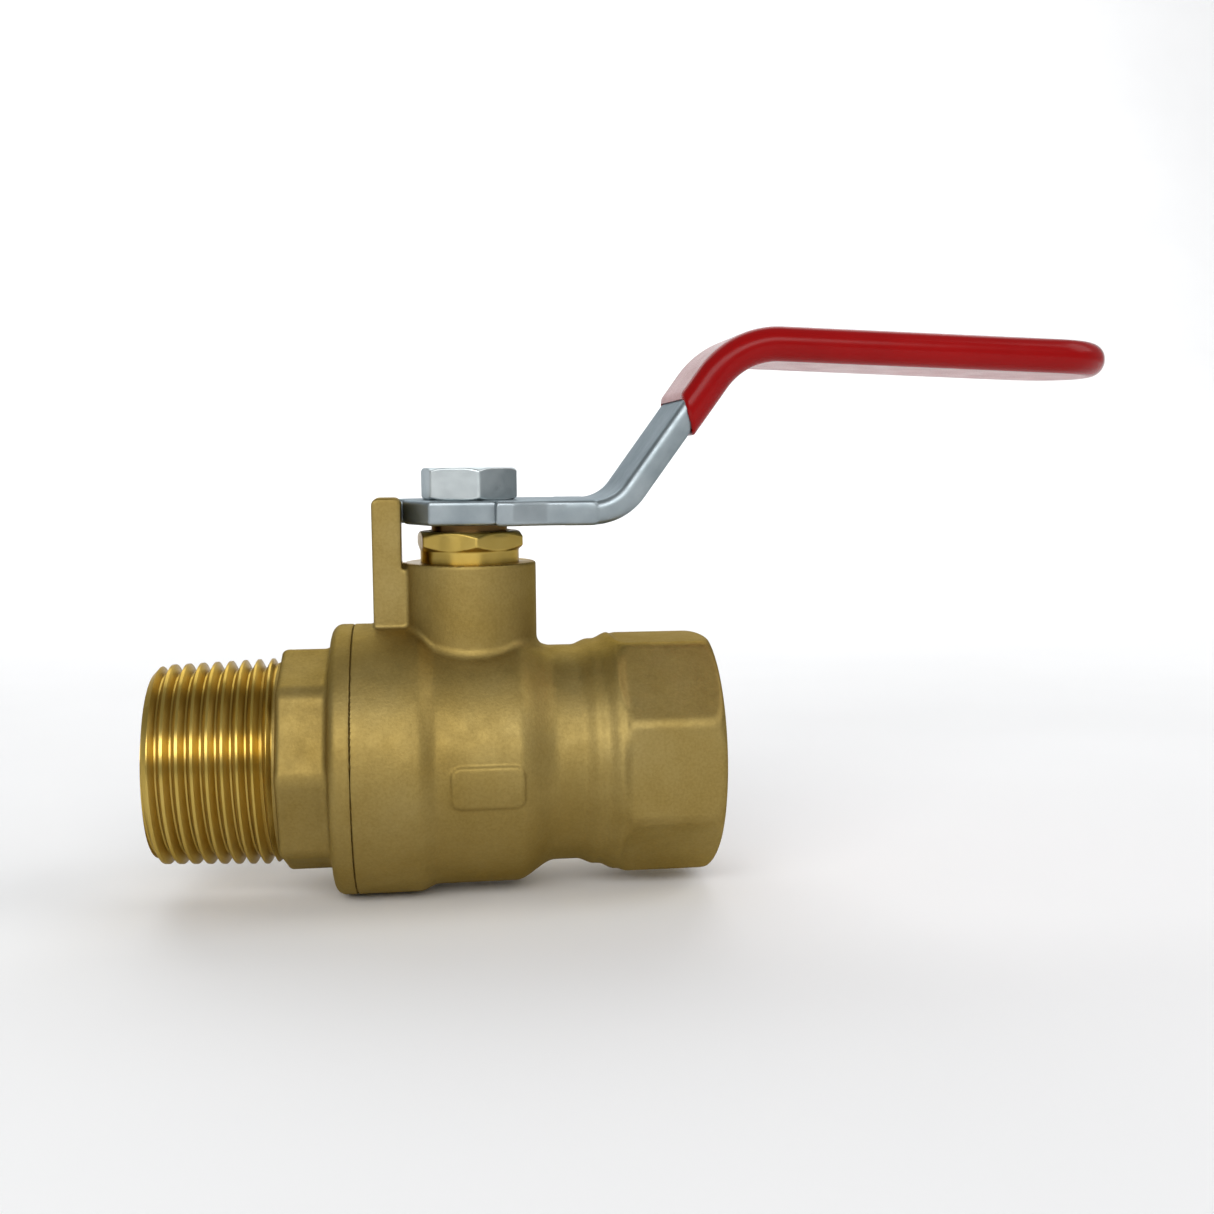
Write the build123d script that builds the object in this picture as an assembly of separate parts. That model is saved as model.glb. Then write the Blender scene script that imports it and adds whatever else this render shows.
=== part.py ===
from build123d import *
import os

# Ball valve, 3/4 inch pipe size, standard port: male taper thread at the inlet,
# female taper thread at the outlet, and a stamped lever with a dipped vinyl grip.
#
# Millimetres.  The origin is the ball's centre, where the pipe axis (X) meets the
# stem axis (Z).  +X points out of the female end and +Z up the stem.  The valve is
# drawn open: the ball's port and the lever both lie along X.

# ---- waterway, ball and seats -------------------------------------------------
PORT_R = 7.5                 # 15 mm port through adapter, seats, ball and body
BALL_R = 12.0
BALL_FLAT_X = 9.2            # flats faced on the ball at each end of its port
SEAT_GAP = 0.12              # sphere clearance cut in each seat's face
SEAT_R = 10.95               # seat ring outside radius
SEAT_FRONT_X = 7.6
SEAT_BACK_X = 11.0
SEAT_POCKET_R = 11.0

# ---- taper pipe threads (3/4 - 14, taper 1 in 16 on the diameter) ----------------
PITCH = 25.4 / 14
TAPER = 1 / 32               # radius gained per millimetre of length
THREAD_DEPTH = 1.2
CREST_FLAT = 0.30            # width of each crest's round land
ROOT_FLAT = 0.24

OCT_FACE_TO_CORNER = 0.9239  # cosine of 22.5 degrees
HEX_FACE_TO_CORNER = 0.8660  # cosine of 30 degrees

# ---- end adapter (inlet, male) -------------------------------------------------
MALE_END_X = -41.05
MALE_RIM_R = 12.0            # end face radius, inside the lead-in chamfer
MALE_CRESTS = 8
LAST_CREST_X = -26.05        # the full crest nearest the wrench octagon
LAST_CREST_R = 13.49
ADAPTER_OCT_X = -24.8        # thread-side face of the wrench octagon
ADAPTER_OCT_AF = 27.6
ADAPTER_OCT_TURN = 20.5      # degrees the octagon stands turned about the pipe
MALE_BORE_R = 9.5            # cored mouth of the male end
MALE_BORE_X = -28.5
PORT_START_X = -25.5
FLANGE_R = 17.85
FLANGE_X = -18.2
SEAM_X = -15.4               # joint face between adapter and body
SEAM_EDGE_R = 0.35
SPIGOT_R = 14.85             # threaded spigot that screws into the body
SPIGOT_X = -8.9
JOINT_BORE_R = 14.88
SEAL_CLEARANCE = 0.08        # fibre ring to the bore round it

# ---- body (outlet, female) -------------------------------------------------------
LAND_END_X = -7.1            # end of the land that carries on the adapter's flange
BARREL_R = 16.95             # round middle of the body, over the ball
BARREL_X = (-5.2, 6.2)
NECK_R = 14.45
NECK_X = (9.6, 14.0)
BEAD_R = 15.2
BEAD_X = (15.2, 16.9)
COLLAR_R = 16.0              # round collar before the wrench octagon
COLLAR_X = (17.9, 18.9)
CORNER_R = 16.66             # bar that the octagon's corners are left from
CORNER_X = 19.7
FEMALE_END_X = 31.87
FEMALE_END_EDGE_R = 2.4
BODY_OCT_AF = 30.74
OCT_RUNOUT_X = 18.9          # flats fade out from here towards the collar
CAVITY_R = 12.6
CAVITY_X = (5.0, 6.6)        # the cavity narrows to the seat pocket between these
SHOULDER_X = -7.6            # end of the joint bore
FEMALE_CRESTS = 7
FIRST_CREST_X = 30.0         # the female crest nearest the mouth
FIRST_CREST_R = 11.9
FEMALE_MOUTH_R = 13.2
FEMALE_BOTTOM_X = 16.6

# ---- stem boss, stop post and marking panel --------------------------------------
BOSS_R = 8.72
BOSS_TOP_Z = 26.0
FORGING_CORE_Z = 10.0        # boss and post are drawn from here, inside the barrel
POST_X = (-12.7, -8.9)       # left and right faces of the stop post
POST_HALF_Y = 3.0
POST_TOP_Z = 34.5
POST_WEB_Z = 25.2            # the post joins the boss below this height
POST_CORNER_R = 0.9
POST_WEB_R = 0.6
PANEL_SIZE = (9.0, 5.2)      # plain raised marking panel on the barrel's front
PANEL_CENTRE = (1.3, -0.8)
PANEL_CORNER_R = 1.2
PANEL_R = BARREL_R + 0.3

# ---- stem, packing and packing nut ---------------------------------------------
STEM_R = 5.0
STEM_HOLE_R = 5.05
STEM_COLLAR_Z = (13.0, 15.4)  # kept in by the body's shoulder above it
STEM_COLLAR_R = 6.2
COLLAR_BORE_R = 6.4
WASHER_CLEARANCE = 0.05      # thrust washer to the stem, round it and below it
BODY_SHOULDER_Z = 16.2
TANG_Z = 9.6
TANG_SIZE = (3.9, 9.6)       # thickness along X, width along Y
SLOT_WIDTH = 4.1
SLOT_Z = 9.3                 # floor of the ball's slot
CHAMBER_R = 6.52
CHAMBER_Z = 18.2
PACKING_R = 6.48
PACKING_RING_HEIGHT = 1.9
PACKING_NUT_THREAD_R = 6.5
PACKING_NUT_Z = 22.05
PACKING_HEX_Z = (27.6, 30.1)
PACKING_HEX_AF = 13.1
PACKING_HEX_TURN = 5.5
PACKING_HEX_CHAMFER = 0.55

# ---- lever, grip and handle nut --------------------------------------------------
PLATE = 3.2                  # lever plate thickness
PLATE_Z = 31.0               # underside of the lever's hub
ARM_WIDTH = 18.0
ARM_EDGE_R = 1.1
HUB_CLEAR = 8.6              # hub radius where it sweeps past the stop post
HUB_BACK_X = -11.2           # tip of the lug that meets the post when open
HUB_FRONT_Y = -6.75          # flat front of the hub
EAR_TIP_Y = -10.2            # tip of the ear that meets the post when closed
EAR_X = 5.2
ARM_START_X = 9.6            # the arm has its full width from here
STOP_GAP = 0.05              # gap left between a stop face and the post
BEND_LOW = (18.9, 32.6)      # corners of the lever's middle line, X and Z
BEND_HIGH = (34.6, 54.2)
GRIP_FALL = 2.2              # degrees the grip slopes down towards its tip
LEVER_TIP_X = 86.2
TIP_STRAIGHT = 0.6           # half the straight edge left across the rounded tip
BEND_R = (6.7, 10.5)
FLATS_HALF = 3.4             # half the distance across the stem's two flats
STUD_R = 3.5
STUD_TOP_Z = 38.0
STUD_CHAMFER = 0.5
THREAD_CLEARANCE = 0.02      # plain shank to plain bore where the real one is threaded
HANDLE_NUT_HEIGHT = 4.17
HANDLE_NUT_AF = 11.55
HANDLE_NUT_TURN = 10.0
HANDLE_NUT_CHAMFER = 0.7
VINYL = 0.65                 # thickness of the dipped grip
GRIP_START = ((27.1, 47.0), (28.4, 42.5))   # grip's slanted end, upper and lower edge


def rounded_face(corners):
    """Flat face from (point, rounding) pairs; a rounding of 0 leaves a sharp corner."""
    face = make_face(Polyline(*[point for point, _ in corners], close=True))
    for point, rounding in corners:
        if rounding:
            corner = face.vertices().sort_by_distance(point)[0]
            face = fillet(corner, rounding)
    return face


def turned_x(*corners):
    """Solid turned about the pipe axis, from (X, radius, corner rounding) values."""
    outline = [((along, radius, 0), rounding) for along, radius, rounding in corners]
    return revolve(rounded_face(outline), Axis.X)


def turned_z(*corners):
    """Solid turned about the stem axis, from (height, radius, corner rounding) values."""
    outline = [((radius, 0, height), rounding) for height, radius, rounding in corners]
    return revolve(rounded_face(outline), Axis.Z)


def rod_x(radius, start, end):
    """Cylinder along the pipe axis between two X values."""
    return Pos((start + end) / 2, 0, 0) * Rot(0, 90, 0) * Cylinder(radius, end - start)


def rod_z(radius, start, end):
    """Cylinder along the stem axis between two heights."""
    return Pos(0, 0, (start + end) / 2) * Cylinder(radius, end - start)


def cone_x(start, end, start_r, end_r):
    """Cone frustum along the pipe axis."""
    return turned_x((start, 0, 0), (start, start_r, 0), (end, end_r, 0), (end, 0, 0))


def octagon_x(across_flats, turn, start, end):
    """Octagonal bar along the pipe axis, with a flat uppermost before it is turned."""
    outline = RegularPolygon(across_flats / 2, 8, major_radius=False)
    bar = extrude(Plane.YZ * Rot(0, 0, 22.5 + turn) * outline, end - start)
    return Pos(start, 0, 0) * bar


def hex_z(across_flats, turn, start, end, rim_drop):
    """Hexagon with a vertex towards -Y, its corners chamfered at both ends."""
    outline = RegularPolygon(across_flats / 2, 6, major_radius=False)
    bar = Pos(0, 0, start) * extrude(Rot(0, 0, 90 + turn) * outline, end - start)
    corner_r = across_flats / 2 / HEX_FACE_TO_CORNER + 0.01
    rim_r = across_flats / 2 - 0.05
    barrel = turned_z(
        (start, 0, 0),
        (start, rim_r, 0),
        (start + rim_drop, corner_r, 0),
        (end - rim_drop, corner_r, 0),
        (end, rim_r, 0),
        (end, 0, 0),
    )
    return bar & barrel


def thread_corners(last_x, last_r, crests, depth):
    """Outline of a taper thread drawn as rings, for the given number of crests.

    Each crest is a short round land, one step of the taper smaller than the next,
    and a root comes before each.  A negative depth makes an internal thread."""
    corners = []
    for index in range(crests):
        back = (crests - 1 - index) * PITCH
        crest_x = last_x - back
        crest_r = last_r - back * TAPER
        root_x = crest_x - PITCH / 2
        root_r = crest_r - depth
        corners += [
            (root_x - ROOT_FLAT / 2, root_r, 0),
            (root_x + ROOT_FLAT / 2, root_r, 0),
            (crest_x - CREST_FLAT / 2, crest_r, 0),
            (crest_x + CREST_FLAT / 2, crest_r, 0),
        ]
    return corners


def end_adapter():
    """Male end: taper thread, wrench octagon, flange and spigot into the body."""
    first_root_x = LAST_CREST_X - (MALE_CRESTS - 0.5) * PITCH
    relief_r = LAST_CREST_R - THREAD_DEPTH / 2
    threaded = turned_x(
        (MALE_END_X, 0, 0),
        (MALE_END_X, MALE_RIM_R, 0),
        (first_root_x - PITCH / 2, MALE_RIM_R + 0.6, 0),
        *thread_corners(LAST_CREST_X, LAST_CREST_R, MALE_CRESTS, THREAD_DEPTH),
        (LAST_CREST_X + 0.6, relief_r, 0),
        (ADAPTER_OCT_X, relief_r, 0),
        (ADAPTER_OCT_X, 0, 0),
    )
    corner_r = ADAPTER_OCT_AF / 2 / OCT_FACE_TO_CORNER
    wrench = octagon_x(ADAPTER_OCT_AF, ADAPTER_OCT_TURN, ADAPTER_OCT_X, FLANGE_X)
    wrench &= turned_x(
        (ADAPTER_OCT_X, 0, 0),
        (ADAPTER_OCT_X, ADAPTER_OCT_AF / 2 - 0.1, 0),
        (ADAPTER_OCT_X + 0.8, corner_r, 0),
        (FLANGE_X, corner_r, 0),
        (FLANGE_X, 0, 0),
    )
    flange = turned_x(
        (FLANGE_X - 0.6, 0, 0),
        (FLANGE_X - 0.6, ADAPTER_OCT_AF / 2 - 0.1, 0),
        (FLANGE_X, ADAPTER_OCT_AF / 2 + 1.6, 0),
        (FLANGE_X + 0.1, FLANGE_R, 1.3),
        (SEAM_X, FLANGE_R, SEAM_EDGE_R),
        (SEAM_X, SPIGOT_R, 0),
        (SPIGOT_X, SPIGOT_R, 0.3),
        (SPIGOT_X, 0, 0),
    )
    adapter = threaded + wrench + flange
    adapter -= rod_x(MALE_BORE_R, MALE_END_X, MALE_BORE_X)
    adapter -= cone_x(MALE_BORE_X, PORT_START_X, MALE_BORE_R, PORT_R)
    adapter -= rod_x(PORT_R, PORT_START_X, SPIGOT_X)
    adapter -= rod_x(SEAT_POCKET_R, -SEAT_BACK_X, SPIGOT_X)
    return adapter


def body_outside():
    """Forged outside: barrel, neck, bead and collar, with the octagon cut into it."""
    forging = turned_x(
        (SEAM_X, 0, 0),
        (SEAM_X, FLANGE_R, SEAM_EDGE_R),
        (LAND_END_X, FLANGE_R, 1.6),
        (BARREL_X[0], BARREL_R, 1.6),
        (BARREL_X[1], BARREL_R, 2.6),
        (NECK_X[0], NECK_R, 2.6),
        (NECK_X[1], NECK_R, 0.7),
        (BEAD_X[0], BEAD_R, 0.8),
        (BEAD_X[1], BEAD_R, 0.5),
        (COLLAR_X[0], COLLAR_R, 0.5),
        (COLLAR_X[1], COLLAR_R, 0.8),
        (CORNER_X, CORNER_R, 0.5),
        (FEMALE_END_X, CORNER_R, FEMALE_END_EDGE_R),
        (FEMALE_END_X, 0, 0),
    )
    octagon = octagon_x(BODY_OCT_AF, 0, 0, FEMALE_END_X)
    rounds = turned_x(
        (SEAM_X, 0, 0),
        (SEAM_X, FLANGE_R + 1, 0),
        (OCT_RUNOUT_X - 1, FLANGE_R + 1, 0),
        (OCT_RUNOUT_X, COLLAR_R, 0),
        (OCT_RUNOUT_X + 1, COLLAR_R - 1, 0),
        (OCT_RUNOUT_X + 1, 0, 0),
    )
    return forging & (octagon + rounds)


def stop_post():
    """Post that the lever's hub turns against, webbed to the boss lower down."""
    left, right = POST_X
    inside_boss = right + BOSS_R / 2
    outline = make_face(
        FilletPolyline(
            (left, 0, FORGING_CORE_Z),
            (left, 0, POST_TOP_Z),
            (right, 0, POST_TOP_Z),
            (right, 0, POST_WEB_Z),
            (inside_boss, 0, POST_WEB_Z),
            (inside_boss, 0, FORGING_CORE_Z),
            radius=[0, POST_CORNER_R, POST_CORNER_R, POST_WEB_R, 0, 0],
            close=True,
        )
    )
    return extrude(outline, POST_HALF_Y, both=True)


def marking_panel():
    """Plain raised panel that follows the barrel's round front."""
    across, up = PANEL_SIZE
    x, z = PANEL_CENTRE
    outline = RectangleRounded(across, up, PANEL_CORNER_R)
    block = Pos(x, -BARREL_R, z) * Rot(90, 0, 0) * extrude(outline, BARREL_R / 4, both=True)
    return block & rod_x(PANEL_R, x - across, x + across)


def female_thread():
    """Cutter for the outlet: taper thread and countersunk mouth."""
    step = PITCH / 2
    return turned_x(
        (FEMALE_BOTTOM_X, 0, 0),
        (FEMALE_BOTTOM_X, FIRST_CREST_R - 0.5, 0),
        *thread_corners(FIRST_CREST_X, FIRST_CREST_R, FEMALE_CRESTS, -THREAD_DEPTH),
        (FIRST_CREST_X + step, FIRST_CREST_R + THREAD_DEPTH / 2, 0),
        (FEMALE_END_X, FEMALE_MOUTH_R, 0),
        (FEMALE_END_X, 0, 0),
    )


def body():
    """Body forging with its cavity, seat pocket, outlet thread and stem boss."""
    solid = body_outside()
    boss = turned_z(
        (FORGING_CORE_Z, 0, 0),
        (FORGING_CORE_Z, BOSS_R, 0),
        (BOSS_TOP_Z, BOSS_R, 0.4),
        (BOSS_TOP_Z, 0, 0),
    )
    solid += boss + stop_post() + marking_panel()
    solid -= rod_x(JOINT_BORE_R, SEAM_X, SHOULDER_X)
    cavity_end, pocket_start = CAVITY_X
    solid -= rod_x(CAVITY_R, SHOULDER_X, cavity_end)
    solid -= cone_x(cavity_end, pocket_start, CAVITY_R, SEAT_POCKET_R)
    solid -= rod_x(SEAT_POCKET_R, pocket_start, SEAT_BACK_X)
    solid -= rod_x(PORT_R, SEAT_BACK_X, FEMALE_BOTTOM_X)
    solid -= female_thread()
    solid -= rod_z(COLLAR_BORE_R, FORGING_CORE_Z, BODY_SHOULDER_Z)
    solid -= rod_z(STEM_HOLE_R, BODY_SHOULDER_Z, CHAMBER_Z)
    solid -= rod_z(CHAMBER_R, CHAMBER_Z, BOSS_TOP_Z)
    return solid


def body_joint_seal():
    """Fibre ring squeezed between the spigot's end and the body's shoulder."""
    ring = rod_x(JOINT_BORE_R - SEAL_CLEARANCE, SPIGOT_X, SHOULDER_X)
    return ring - rod_x(CAVITY_R + SEAL_CLEARANCE, SPIGOT_X, SHOULDER_X)


def ball():
    """Ball with its port along X and the stem's slot across its top."""
    solid = Sphere(BALL_R) & Box(2 * BALL_FLAT_X, 3 * BALL_R, 3 * BALL_R)
    solid -= rod_x(PORT_R, -BALL_R, BALL_R)
    solid -= Pos(0, 0, SLOT_Z) * Box(
        SLOT_WIDTH, 3 * BALL_R, BALL_R, align=(Align.CENTER, Align.CENTER, Align.MIN)
    )
    return solid


def seat(side):
    """Seat ring; side is -1 for the inlet and +1 for the outlet."""
    middle = side * (SEAT_FRONT_X + SEAT_BACK_X) / 2
    section = Pos(middle, (SEAT_R + PORT_R) / 2) * Rectangle(SEAT_BACK_X - SEAT_FRONT_X, SEAT_R - PORT_R)
    return revolve(section - Circle(BALL_R + SEAT_GAP), Axis.X)


def stem():
    """Stem: tang, collar, shaft, two flats for the lever and a stud for the nut."""
    low, high = STEM_COLLAR_Z
    solid = rod_z(STEM_R, TANG_Z, low) & Pos(0, 0, TANG_Z) * Box(
        *TANG_SIZE, low, align=(Align.CENTER, Align.CENTER, Align.MIN)
    )
    solid += rod_z(STEM_COLLAR_R, low, high)
    solid += rod_z(STEM_R, high, PLATE_Z)
    solid += double_flat(STEM_R - 0.05, FLATS_HALF - 0.05)
    plate_top = PLATE_Z + PLATE
    solid += turned_z(
        (plate_top, 0, 0),
        (plate_top, STUD_R, 0),
        (STUD_TOP_Z - STUD_CHAMFER, STUD_R, 0),
        (STUD_TOP_Z, STUD_R - STUD_CHAMFER, 0),
        (STUD_TOP_Z, 0, 0),
    )
    return solid


def double_flat(radius, half_width):
    """Round bar with two flats, as high as the lever plate, facing +Y and -Y."""
    top = PLATE_Z + PLATE
    return rod_z(radius, PLATE_Z, top) & Pos(0, 0, (PLATE_Z + top) / 2) * Box(
        4 * radius, 2 * half_width, PLATE
    )


def packing_ring(index):
    """Packing ring in the chamber, counted from the bottom."""
    low = CHAMBER_Z + index * PACKING_RING_HEIGHT
    high = low + PACKING_RING_HEIGHT
    return rod_z(PACKING_R, low, high) - rod_z(STEM_R + 0.03, low, high)


def thrust_washer():
    """Washer between the stem's collar and the body's shoulder."""
    low = STEM_COLLAR_Z[1] + WASHER_CLEARANCE
    washer = rod_z(STEM_COLLAR_R, low, BODY_SHOULDER_Z)
    return washer - rod_z(STEM_R + WASHER_CLEARANCE, low, BODY_SHOULDER_Z)


def packing_nut():
    """Hexagon gland nut that squeezes the packing; the stem turns inside it."""
    hex_low, hex_high = PACKING_HEX_Z
    solid = rod_z(PACKING_NUT_THREAD_R, PACKING_NUT_Z, hex_low)
    solid += hex_z(PACKING_HEX_AF, PACKING_HEX_TURN, hex_low, hex_high, PACKING_HEX_CHAMFER)
    return solid - rod_z(STEM_HOLE_R + 0.03, PACKING_NUT_Z, hex_high)


def lever_path(extra=0.0):
    """Middle line of the lever from its hub to its tip, in the XZ plane."""
    run = Vector(1, 0).rotate(Axis.Z, -GRIP_FALL)
    length = (LEVER_TIP_X + extra - BEND_HIGH[0]) / run.X
    tip = (BEND_HIGH[0] + length * run.X, 0, BEND_HIGH[1] + length * run.Y)
    return FilletPolyline(
        (EAR_X, 0, BEND_LOW[1]),
        (BEND_LOW[0], 0, BEND_LOW[1]),
        (BEND_HIGH[0], 0, BEND_HIGH[1]),
        tip,
        radius=BEND_R,
    )


def bar_along_lever(width, thickness, corner_r, extra=0.0):
    """Rounded flat bar swept along the lever, its tip rounded in plan."""
    path = lever_path(extra)
    section = Plane(path @ 0, x_dir=(0, 1, 0), z_dir=path % 0) * RectangleRounded(
        width, thickness, corner_r
    )
    tip_x = LEVER_TIP_X + extra
    tip_round = width / 2 - TIP_STRAIGHT
    plan = make_face(
        FilletPolyline(
            (0, -width / 2),
            (0, width / 2),
            (tip_x, width / 2),
            (tip_x, -width / 2),
            radius=[0, 0, tip_round, tip_round],
            close=True,
        )
    )
    return sweep(section, path) & extrude(plan, 2 * BEND_HIGH[1])


def lever_hub():
    """Hub plate: clear of the post over the quarter turn, with a stop face at each end."""
    post_side = POST_HALF_Y + STOP_GAP
    half_arm = ARM_WIDTH / 2
    back_cut = -HUB_BACK_X - HUB_CLEAR
    outline = Polyline(
        (HUB_BACK_X, post_side),
        (-HUB_CLEAR, post_side),
        (-HUB_CLEAR, -0.5),
        (-5.3, HUB_FRONT_Y),
        (post_side, HUB_FRONT_Y),
        (post_side, EAR_TIP_Y),
        (EAR_X, EAR_TIP_Y),
        (ARM_START_X, -half_arm),
        (ARM_START_X + PLATE, -half_arm),
        (ARM_START_X + PLATE, half_arm),
        (-HUB_CLEAR + back_cut, half_arm),
        (HUB_BACK_X, half_arm - back_cut),
        close=True,
    )
    return Pos(0, 0, PLATE_Z) * extrude(make_face(outline), PLATE)


def lever():
    """Stamped steel lever with its double-flat hole over the stem."""
    arm = bar_along_lever(ARM_WIDTH, PLATE, ARM_EDGE_R)
    return arm + lever_hub() - double_flat(STEM_R, FLATS_HALF)


def grip_sleeve():
    """Dipped vinyl skin on the lever's outer part, ending on a slant."""
    skin = bar_along_lever(ARM_WIDTH + 2 * VINYL, PLATE + 2 * VINYL, ARM_EDGE_R + VINYL, VINYL)
    (upper_x, upper_z), (lower_x, lower_z) = GRIP_START
    slant = Vector(lower_x - upper_x, 0, lower_z - upper_z)
    end_plane = Plane((upper_x, 0, upper_z), x_dir=(0, 1, 0), z_dir=slant.cross(Vector(0, 1, 0)))
    reach = 2 * LEVER_TIP_X
    skin &= end_plane * Box(reach, reach, reach, align=(Align.CENTER, Align.CENTER, Align.MIN))
    return skin - bar_along_lever(ARM_WIDTH, PLATE, ARM_EDGE_R)


def handle_nut():
    """Hexagon nut that holds the lever down on the stem."""
    low = PLATE_Z + PLATE
    high = low + HANDLE_NUT_HEIGHT
    nut = hex_z(HANDLE_NUT_AF, HANDLE_NUT_TURN, low, high, HANDLE_NUT_CHAMFER)
    return nut - rod_z(STUD_R + THREAD_CLEARANCE, low, high)


parts = {
    "body": body(),
    "end_adapter": end_adapter(),
    "body_joint_seal": body_joint_seal(),
    "ball": ball(),
    "seat_inlet": seat(-1),
    "seat_outlet": seat(1),
    "stem": stem(),
    "stem_thrust_washer": thrust_washer(),
    "stem_packing_lower": packing_ring(0),
    "stem_packing_upper": packing_ring(1),
    "packing_nut": packing_nut(),
    "lever": lever(),
    "grip_sleeve": grip_sleeve(),
    "handle_nut": handle_nut(),
}

os.makedirs("parts", exist_ok=True)
for name, shape in parts.items():
    export_step(shape, f"parts/{name}.step")
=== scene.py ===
import math

import bpy
import numpy as np
import openvdb
from mathutils import Matrix, Vector


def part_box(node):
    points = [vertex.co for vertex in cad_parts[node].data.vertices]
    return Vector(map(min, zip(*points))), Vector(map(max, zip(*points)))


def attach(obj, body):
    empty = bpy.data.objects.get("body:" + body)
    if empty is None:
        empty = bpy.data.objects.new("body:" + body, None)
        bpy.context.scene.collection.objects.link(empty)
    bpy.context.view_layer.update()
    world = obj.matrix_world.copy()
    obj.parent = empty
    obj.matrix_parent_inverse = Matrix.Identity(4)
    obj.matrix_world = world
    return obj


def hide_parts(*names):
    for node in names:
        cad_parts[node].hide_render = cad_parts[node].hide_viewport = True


# Ball valve, 3/4 inch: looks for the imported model.
#
# The forged, stamped and dipped pieces are distance fields, in millimetres, that are
# meshed and then turned into metres.  Plain holes belong to the fields.  Threads and the
# stepped bores of the body and the adapter are turned solids that are cut in afterwards.
# Frame: origin at the ball's centre, +X out of the female end, +Z up the stem.

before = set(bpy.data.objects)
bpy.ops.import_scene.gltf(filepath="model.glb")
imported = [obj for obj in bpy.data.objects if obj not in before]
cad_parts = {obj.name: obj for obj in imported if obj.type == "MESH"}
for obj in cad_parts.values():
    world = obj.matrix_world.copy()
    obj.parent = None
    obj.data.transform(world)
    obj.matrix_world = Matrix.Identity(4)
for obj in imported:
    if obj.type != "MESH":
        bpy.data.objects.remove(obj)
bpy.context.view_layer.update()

MM = 0.001


def millimetres(node):
    """Lowest and highest corner of a CAD node, in millimetres."""
    low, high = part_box(node)
    return low / MM, high / MM


BODY_LOW, BODY_HIGH = millimetres("body")
ADAPTER_LOW, ADAPTER_HIGH = millimetres("end_adapter")
LEVER_LOW, LEVER_HIGH = millimetres("lever")
GRIP_LOW, GRIP_HIGH = millimetres("grip_sleeve")
NUT_LOW, NUT_HIGH = millimetres("handle_nut")
GLAND_LOW, GLAND_HIGH = millimetres("packing_nut")

# ---- body forging --------------------------------------------------------------------
SEAM_X = BODY_LOW.x
FEMALE_END_X = BODY_HIGH.x
FLANGE_R = BODY_HIGH.y
BARREL_R = 16.95
NECK_R = 14.45
BEAD_R = 15.2
COLLAR_R = 16.0
CORNER_R = 16.66             # turned bar that the octagon's corners are left from
BODY_OCT_AF = 30.74          # across flats
FEMALE_END_ROUND = 2.4
BODY_STEPS = (               # where each step of the radius starts and ends, and the new radius
    (-7.4, -4.8, BARREL_R),
    (5.2, 10.6, NECK_R),
    (13.4, 15.8, BEAD_R),
    (16.3, 18.5, COLLAR_R),
    (18.7, 20.1, CORNER_R),
)
BODY_OCT_CORNER = 0.55       # rounding between two flats
OCT_RUNOUT_X = 19.7          # the flats fade out from here towards the collar
OCT_RUNOUT_RATE = 0.45       # rise of the fading flats, per mm squared
CAST_EDGE = 0.35             # rounding of the forging's other edges
SEAM_EDGE = 0.25
CORE_Z = 8.0                 # boss and post are drawn from here, inside the barrel
BOSS_R = 8.72
BOSS_TOP_Z = 26.0
BOSS_FILLET = 0.8
POST_X = (-12.7, -8.9)
POST_HALF_Y = 3.0
POST_TOP_Z = BODY_HIGH.z
POST_CORNER = 0.95
POST_FILLET = 0.45
POST_WEB_Z = 25.2            # the post joins the boss below this height
POST_WEB_INSET = 1.5
POST_WEB_FILLET = 0.6
PANEL_SIZE = (9.0, 5.2)
PANEL_CENTRE = (1.3, -0.8)
PANEL_CORNER = 1.2
PANEL_RAISED = 0.3
PANEL_EDGE = 0.28
PANEL_FILLET = 0.4

# ---- end adapter ---------------------------------------------------------------------
MALE_END_X = ADAPTER_LOW.x
SPIGOT_END_X = ADAPTER_HIGH.x
ADAPTER_OCT_X = -24.8
ADAPTER_OCT_AF = 27.6
ADAPTER_OCT_TURN = 20.5      # degrees
ADAPTER_OCT_EDGE = 0.9
ADAPTER_FILLET = 1.1         # octagon to flange
FLANGE_X = -18.2
FLANGE_EDGE = 1.4
SPIGOT_R = 14.85

# ---- bores and threads ---------------------------------------------------------------
OVERSHOOT = 2.0              # how far a cutter starts or ends beyond the face it cuts
OVERLAP = 1.0                # how far joined shapes reach into each other
PORT_R = 7.5
MALE_BORE_R = 9.5
MALE_BORE_X = -28.5
PORT_START_X = -25.5
JOINT_BORE_R = 14.88
SHOULDER_X = -7.6
CAVITY_R = 12.6
CAVITY_X = (5.0, 6.6)
SEAT_POCKET_R = 11.0
SEAT_BACK_X = 11.0
FEMALE_BOTTOM_X = 16.6
FEMALE_RUNOUT = 1.2
FEMALE_MOUTH_R = 13.2
FEMALE_MOUTH_DEPTH = 2.2
COLLAR_BORE_R = 6.4          # room for the stem's collar, under the body's shoulder
BODY_SHOULDER_Z = 16.2
STEM_HOLE_R = 5.05
CHAMBER_R = 6.52             # packing chamber, above the shoulder
CHAMBER_Z = 18.2
PITCH = 25.4 / 14
TAPER = 1 / 32               # of the radius, over the length
THREAD_DEPTH = 1.2
THREAD_PROFILE = (           # along the pitch from a crest, and below it as a share of the depth
    (-0.50, 1.0),
    (-0.44, 1.0),
    (-0.12, 0.1),
    (-0.07, 0.0),
    (0.07, 0.0),
    (0.12, 0.1),
    (0.44, 1.0),
)
MALE_CREST = (-26.05, 13.49)     # X and radius of the last male crest
FEMALE_CREST = (30.0, 11.9)      # X and radius of the first female crest
MALE_RIM_R = 12.0                # chamfered start of the male thread
MALE_RUNOUT = 0.9

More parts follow.
